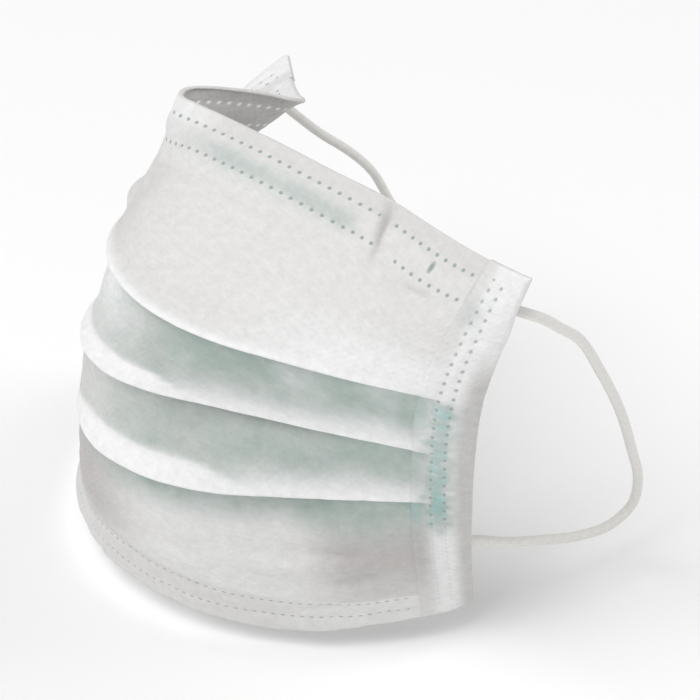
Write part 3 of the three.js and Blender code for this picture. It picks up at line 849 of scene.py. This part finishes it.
def loop_piece(name, route, left):
    """A round elastic cord: a grid rolled into a tube along the route, pressed flat at its welded ends."""
    points, facings = rooted_route(route, left)
    path, length = smooth_route(points, LOOP_STEP)
    sides = LOOP_SIDES
    rings = np.zeros((len(path), sides + 1, 3))
    along = np.linspace(0, length, len(path))
    normal = facings[0]
    for i, tangent in enumerate(unit(np.gradient(path, axis=0))):
        normal = unit(normal - tangent * np.dot(normal, tangent))
        from_end = min(along[i], length - along[i])
        if along[i] > length / 2:
            wanted = facings[1] - tangent * np.dot(facings[1], tangent)
            share = 0.3 * (1 - smooth(from_end / ROOT_TWIST_OVER)) * np.sign(np.dot(wanted, normal))
            normal = unit(normal + share * wanted)
        across = np.cross(tangent, normal)
        flat = 1 - smooth(from_end / ROOT_FLAT)
        for j in range(sides + 1):
            angle = 2 * math.pi * j / sides
            lift = math.cos(angle) * (1 - ROOT_THINNED * flat)
            spread = math.sin(angle) * (1 + ROOT_WIDENED * flat)
            rings[i, j] = path[i] + LOOP_DIAMETER / 2 * (lift * normal + spread * across)
    around = np.linspace(0, math.pi * LOOP_DIAMETER, sides + 1)
    bm = place_grid(rings, around, [np.full(sides + 1, a) for a in along])
    bmesh.ops.remove_doubles(bm, verts=bm.verts, dist=0.01 * MM)
    bmesh.ops.holes_fill(bm, edges=[edge for edge in bm.edges if edge.is_boundary], sides=sides)
    bmesh.ops.recalc_face_normals(bm, faces=bm.faces)
    return add_object(name, bm), path * MM, length * MM


def linear(code):
    """An sRGB hex colour as linear values with full alpha."""
    parts = [int(code[i:i + 2], 16) / 255 for i in (0, 2, 4)]
    return (*[p / 12.92 if p <= 0.04045 else ((p + 0.055) / 1.055) ** 2.4 for p in parts], 1)


def add_node(tree, kind, inputs=None, **settings):
    """A node with its settings, and its inputs by name or number, as values or links."""
    node = tree.nodes.new(kind)
    for name, value in settings.items():
        setattr(node, name, value)
    for socket, source in (inputs or {}).items():
        if isinstance(source, bpy.types.NodeSocket):
            tree.links.new(source, node.inputs[socket])
        else:
            node.inputs[socket].default_value = source
    return node


# Numbered inputs: a Mix node's share and two colours, and a Map Range's value, from and to ranges.
SHARE, FIRST, SECOND = 0, 6, 7
VALUE, FROM_LOW, FROM_HIGH, TO_LOW, TO_HIGH = 0, 1, 2, 3, 4


def new_material(name):
    material = bpy.data.materials.new(name)
    material.use_nodes = True
    tree = material.node_tree
    tree.nodes.clear()
    shader = add_node(tree, "ShaderNodeBsdfPrincipled")
    add_node(tree, "ShaderNodeOutputMaterial", {"Surface": shader.outputs[0]})
    return material, tree, shader


def cloth_place(tree, turn=0, stretch=(1, 1, 1)):
    """The cloth's own coordinates in millimetres, turned and stretched."""
    uv = add_node(tree, "ShaderNodeUVMap", uv_map="cloth").outputs[0]
    turned = add_node(
        tree, "ShaderNodeMapping", {"Vector": uv, "Rotation": (0, 0, math.radians(turn))},
    ).outputs[0]
    scale = [TEXTURE_SPAN * part for part in stretch]
    return add_node(tree, "ShaderNodeMapping", {"Vector": turned, "Scale": scale}).outputs[0]


def bond_points(tree, spacing):
    """Staggered bond points a spacing apart, as 0 on their rows and 1 between them."""
    place = cloth_place(tree, 45, (math.pi / spacing, math.pi / spacing, 1))
    parts = add_node(tree, "ShaderNodeSeparateXYZ", {0: place})
    across = add_node(tree, "ShaderNodeMath", {0: parts.outputs[0]}, operation="SINE").outputs[0]
    along = add_node(tree, "ShaderNodeMath", {0: parts.outputs[1]}, operation="SINE").outputs[0]
    both = add_node(tree, "ShaderNodeMath", {0: across, 1: along}, operation="MULTIPLY").outputs[0]
    return add_node(tree, "ShaderNodeMath", {0: both}, operation="ABSOLUTE").outputs[0]


# Repeats in each millimetre of the cloth: patches about 11 mm across, clumps of fibre of 2 mm and streaks of
# fibre of 1.25 mm before they are stretched.
PATCHES = 0.09
CLUMPS = 0.5
STREAKS = 0.8
BOND_SPACING = 1.3
# Colours of the cloth. The mint is partly the filter ply and partly painted shade, the greyer one is painted
# shade, and the white one is a painted sheen around the weld marks.
FILTER_MINT_AND_PAINTED_SHADE = "abb9b3"
FILTER_TEAL = "a2c9c6"
PAINTED_SHADE_GREY = "bab6b4"
PAINTED_SHEEN_WHITE = "f7f8f7"


def spunbond(name, plain, welded, bluish=0.0):
    """Spunbond: thermally bonded polypropylene fibres, as a thin white ply over a mint filter ply.

    It gives the eye a matt, mottled white with slanting streaks of fibre, fine dents at the bond points, a
    mint tone that is partly the filter ply showing through and partly painted shade under the ridges, a
    greyed painted shade in the hollows, a faint painted sheen around the weld marks, and glassy marks where
    heat has welded the plies.
    The bond points are drawn 1.3 mm apart, about twice as coarse as real ones, which would be too fine to
    show. "bluish" is how far the tone turns to teal where the filter ply is nearest.
    """
    material, tree, shader = new_material(name)
    mint = add_node(tree, "ShaderNodeAttribute", attribute_name="mint").outputs["Fac"]
    painted_shade = add_node(tree, "ShaderNodeAttribute", attribute_name="painted_shade").outputs["Fac"]
    weld = add_node(tree, "ShaderNodeAttribute", attribute_name="weld").outputs["Vector"]
    edge = add_node(tree, "ShaderNodeVectorMath", {0: weld}, operation="LENGTH").outputs["Value"]
    even = cloth_place(tree)
    patches = add_node(
        tree, "ShaderNodeTexNoise", {"Vector": even, "Scale": PATCHES, "Detail": 3.0},
    ).outputs["Fac"]
    clumps = add_node(
        tree, "ShaderNodeTexNoise", {"Vector": even, "Scale": CLUMPS, "Detail": 4.0, "Roughness": 0.65},
    ).outputs["Fac"]
    slanting = cloth_place(tree, 12, (0.35, 1.5, 1))
    fibres = add_node(
        tree, "ShaderNodeTexNoise", {"Vector": slanting, "Scale": STREAKS, "Detail": 3.0, "Roughness": 0.6},
    ).outputs["Fac"]
    uneven = add_node(
        tree, "ShaderNodeMapRange", {VALUE: patches, FROM_LOW: 0.32, FROM_HIGH: 0.6, TO_LOW: 0.55},
    ).outputs[0]
    # The mint share is partly the filter ply showing through and partly painted shade.
    near = add_node(tree, "ShaderNodeMath", {0: mint, 1: 1.0}, operation="MINIMUM").outputs[0]
    mint_share = add_node(tree, "ShaderNodeMath", {0: near, 1: uneven}, operation="MULTIPLY").outputs[0]
    nearest = add_node(tree, "ShaderNodeMapRange", {VALUE: mint, FROM_LOW: 0.75, FROM_HIGH: 1.6}).outputs[0]
    teal_share = add_node(tree, "ShaderNodeMath", {0: nearest, 1: bluish}, operation="MULTIPLY").outputs[0]
    filter_and_painted_shade_tint = add_node(
        tree, "ShaderNodeMix", {SHARE: teal_share, FIRST: linear(FILTER_MINT_AND_PAINTED_SHADE), SECOND: linear(FILTER_TEAL)},
        data_type="RGBA",
    ).outputs[2]
    # Painted shade: the cloth is greyed where the attribute asks for shade.
    greyed = add_node(
        tree, "ShaderNodeMix", {SHARE: painted_shade, FIRST: linear(plain), SECOND: linear(PAINTED_SHADE_GREY)},
        data_type="RGBA",
    ).outputs[2]
    tinted = add_node(
        tree, "ShaderNodeMix", {SHARE: mint_share, FIRST: greyed, SECOND: filter_and_painted_shade_tint}, data_type="RGBA",
    ).outputs[2]
    # A painted sheen: the cloth is lightened in a ring around each weld mark.
    painted_sheen = add_node(
        tree, "ShaderNodeMapRange", {VALUE: edge, FROM_LOW: 2.6, FROM_HIGH: 1.2, TO_HIGH: 0.12},
    ).outputs[0]
    ringed = add_node(
        tree, "ShaderNodeMix", {SHARE: painted_sheen, FIRST: tinted, SECOND: linear(PAINTED_SHEEN_WHITE)}, data_type="RGBA",
    ).outputs[2]
    clumped = add_node(
        tree, "ShaderNodeMapRange",
        {VALUE: clumps, FROM_LOW: 0.3, FROM_HIGH: 0.7, TO_LOW: 0.93, TO_HIGH: 1.03},
    ).outputs[0]
    streaked = add_node(
        tree, "ShaderNodeMapRange",
        {VALUE: fibres, FROM_LOW: 0.3, FROM_HIGH: 0.7, TO_LOW: 0.96, TO_HIGH: 1.02},
    ).outputs[0]
    shade = add_node(tree, "ShaderNodeMath", {0: clumped, 1: streaked}, operation="MULTIPLY").outputs[0]
    mottled = add_node(
        tree, "ShaderNodeVectorMath", {0: ringed, "Scale": shade}, operation="SCALE",
    ).outputs[0]
    mark = add_node(
        tree, "ShaderNodeMapRange", {VALUE: edge, FROM_LOW: 1.6, FROM_HIGH: 0.35},
        interpolation_type="SMOOTHSTEP",
    ).outputs[0]
    deeper = add_node(
        tree, "ShaderNodeVectorMath", {0: filter_and_painted_shade_tint, "Scale": 0.8}, operation="SCALE",
    ).outputs[0]
    fused = add_node(
        tree, "ShaderNodeMix", {SHARE: mint_share, FIRST: linear(welded), SECOND: deeper}, data_type="RGBA",
    ).outputs[2]
    marked = add_node(
        tree, "ShaderNodeMix", {SHARE: mark, FIRST: mottled, SECOND: fused}, data_type="RGBA",
    ).outputs[2]
    tree.links.new(marked, shader.inputs["Base Color"])
    relief = add_node(
        tree, "ShaderNodeMath", {0: clumps, 1: 5.0, 2: bond_points(tree, BOND_SPACING)},
        operation="MULTIPLY_ADD",
    ).outputs[0]
    relief = add_node(
        tree, "ShaderNodeMath", {0: fibres, 1: 4.0, 2: relief}, operation="MULTIPLY_ADD",
    ).outputs[0]
    bump = add_node(
        tree, "ShaderNodeBump", {"Strength": 0.6, "Distance": 0.08 * MM, "Height": relief},
    ).outputs[0]
    tree.links.new(bump, shader.inputs["Normal"])
    shader.inputs["Roughness"].default_value = 0.85
    shader.inputs["Sheen Weight"].default_value = 0.1
    shader.inputs["Subsurface Weight"].default_value = 0.15
    shader.inputs["Subsurface Radius"].default_value = (1, 1, 1)
    shader.inputs["Subsurface Scale"].default_value = 0.8 * MM
    shader.inputs["Specular IOR Level"].default_value = 0.2
    return material


def knitted_elastic():
    """Round cord knitted from polyester over elastane: soft and matt, with fine slanting ribs.

    The ribs repeat every 3 mm along the cord, about four times as coarse as the real stitch, which would be
    too fine to show.
    """
    material, tree, shader = new_material("knitted_elastic")
    ribs = add_node(
        tree, "ShaderNodeTexWave",
        {"Vector": cloth_place(tree), "Scale": 0.21, "Distortion": 0.8, "Detail": 1.0},
        bands_direction="DIAGONAL",
    ).outputs["Fac"]
    fuzz = add_node(
        tree, "ShaderNodeTexNoise", {"Vector": cloth_place(tree), "Scale": 1.6, "Detail": 3.0},
    ).outputs["Fac"]
    ribbed = add_node(tree, "ShaderNodeMapRange", {VALUE: ribs, TO_LOW: 0.97}).outputs[0]
    fuzzy = add_node(
        tree, "ShaderNodeMapRange",
        {VALUE: fuzz, FROM_LOW: 0.3, FROM_HIGH: 0.7, TO_LOW: 0.95, TO_HIGH: 1.02},
    ).outputs[0]
    shade = add_node(tree, "ShaderNodeMath", {0: ribbed, 1: fuzzy}, operation="MULTIPLY").outputs[0]
    colour = add_node(
        tree, "ShaderNodeVectorMath", {0: linear("edebe7")[:3], "Scale": shade}, operation="SCALE",
    ).outputs[0]
    tree.links.new(colour, shader.inputs["Base Color"])
    relief = add_node(tree, "ShaderNodeMath", {0: ribs, 1: fuzz}, operation="ADD").outputs[0]
    bump = add_node(
        tree, "ShaderNodeBump", {"Strength": 0.3, "Distance": 0.1 * MM, "Height": relief},
    ).outputs[0]
    tree.links.new(bump, shader.inputs["Normal"])
    shader.inputs["Roughness"].default_value = 0.85
    shader.inputs["Sheen Weight"].default_value = 0.2
    return material


def extruded_polyethylene():
    """Polyethylene extruded over a thin wire: smooth and slightly waxy, with faint streaks along it."""
    material, tree, shader = new_material("extruded_polyethylene")
    lengthwise = cloth_place(tree, 0, (0.1, 3, 1))
    streaks = add_node(
        tree, "ShaderNodeTexNoise", {"Vector": lengthwise, "Scale": 1.0, "Detail": 2.0},
    ).outputs["Fac"]
    colour = add_node(
        tree, "ShaderNodeMix", {SHARE: streaks, FIRST: linear("dfe3e0"), SECOND: linear("eef0ee")},
        data_type="RGBA",
    ).outputs[2]
    tree.links.new(colour, shader.inputs["Base Color"])
    shader.inputs["Roughness"].default_value = 0.4
    return material


def set_camera():
    azimuth, elevation = math.radians(CAMERA_AZIMUTH), math.radians(CAMERA_ELEVATION)
    level = math.cos(elevation)
    back = Vector((math.sin(azimuth) * level, -math.cos(azimuth) * level, math.sin(elevation)))
    data = bpy.data.cameras.new("camera")
    data.lens = CAMERA_LENS
    data.sensor_width = 36
    data.clip_start = 0.01
    camera = bpy.data.objects.new("camera", data)
    bpy.context.scene.collection.objects.link(camera)
    place = (Vector(CAMERA_TARGET) + back * CAMERA_DISTANCE) * MM
    camera.matrix_world = Matrix.Translation(place) @ (-back).to_track_quat("-Z", "Y").to_matrix().to_4x4()
    bpy.context.scene.camera = camera


def finish_piece(obj, material, node):
    obj.data.materials.append(material)
    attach(obj, "root")
    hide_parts(node)


def studio():
    """A pale floor just under the mask, an even white sky and two large soft lights."""
    low = cad_box[0]
    bm = bmesh.new()
    bmesh.ops.create_grid(bm, x_segments=1, y_segments=1, size=FLOOR_HALF_SIZE)
    bmesh.ops.translate(bm, verts=bm.verts, vec=(0, 0, low[2] - FLOOR_GAP))
    floor = add_object("floor", bm)
    material, _, shader = new_material("pale_floor")
    shader.inputs["Base Color"].default_value = linear("fcfcfc")
    shader.inputs["Roughness"].default_value = 0.9
    floor.data.materials.append(material)
    world = bpy.data.worlds.new("sky")
    bpy.context.scene.world = world
    world.use_nodes = True
    background = world.node_tree.nodes["Background"]
    background.inputs["Color"].default_value = (1, 1, 1, 1)
    background.inputs["Strength"].default_value = SKY_STRENGTH
    for named in LIGHTS:
        light = bpy.data.lights.new(named["name"], "AREA")
        light.size = named["size"]
        light.energy = named["power"]
        lamp = bpy.data.objects.new(named["name"], light)
        bpy.context.scene.collection.objects.link(lamp)
        aim = Vector(named["aim"]).normalized()
        place = Vector(CAMERA_TARGET) * MM - aim * LIGHT_DISTANCE
        lamp.matrix_world = Matrix.Translation(place) @ aim.to_track_quat("-Z", "Y").to_matrix().to_4x4()


set_camera()
bpy.context.scene.view_settings.view_transform = "Standard"

elastic = knitted_elastic()
for name, node, route, left in (
    ("elastic_loop_left", "ear_loop_left", LEFT_LOOP_ROUTE, True),
    ("elastic_loop_right", "ear_loop_right", RIGHT_LOOP_ROUTE, False),
):
    loop, path, length = loop_piece(name, route, left)
    finish_piece(loop, elastic, node)

panel = panel_piece()
finish_piece(panel, spunbond("spunbond_polypropylene", "f6f6f6", "9ca8a4"), "mask_panel")
turned_cloth = spunbond("turned_spunbond", "e3e1df", "ffffff")
top_hem = hem_piece("top_hem_strip", 0, TOP_ROWS, TOP_ROLL, TOP_HEM_HEIGHT, COLUMNS_PER_DOT, DOT_HALF)
finish_piece(top_hem, turned_cloth, "top_hem")
bottom_hem = hem_piece(
    "bottom_hem_strip", 3, BOTTOM_ROWS, BOTTOM_ROLL, BOTTOM_HEM_HEIGHT, COLUMNS_PER_DASH, DASH_HALF,
)
finish_piece(bottom_hem, turned_cloth, "bottom_hem")
finish_piece(wire_piece(), extruded_polyethylene(), "nose_wire")
pressed_cloth = spunbond("pressed_spunbond", "f6f6f6", "b6bebc", 1.0)
for name, node, left in (
    ("side_binding_strip_left", "side_binding_left", True),
    ("side_binding_strip_right", "side_binding_right", False),
):
    binding = binding_piece(name, left)
    finish_piece(binding, pressed_cloth, node)

studio()
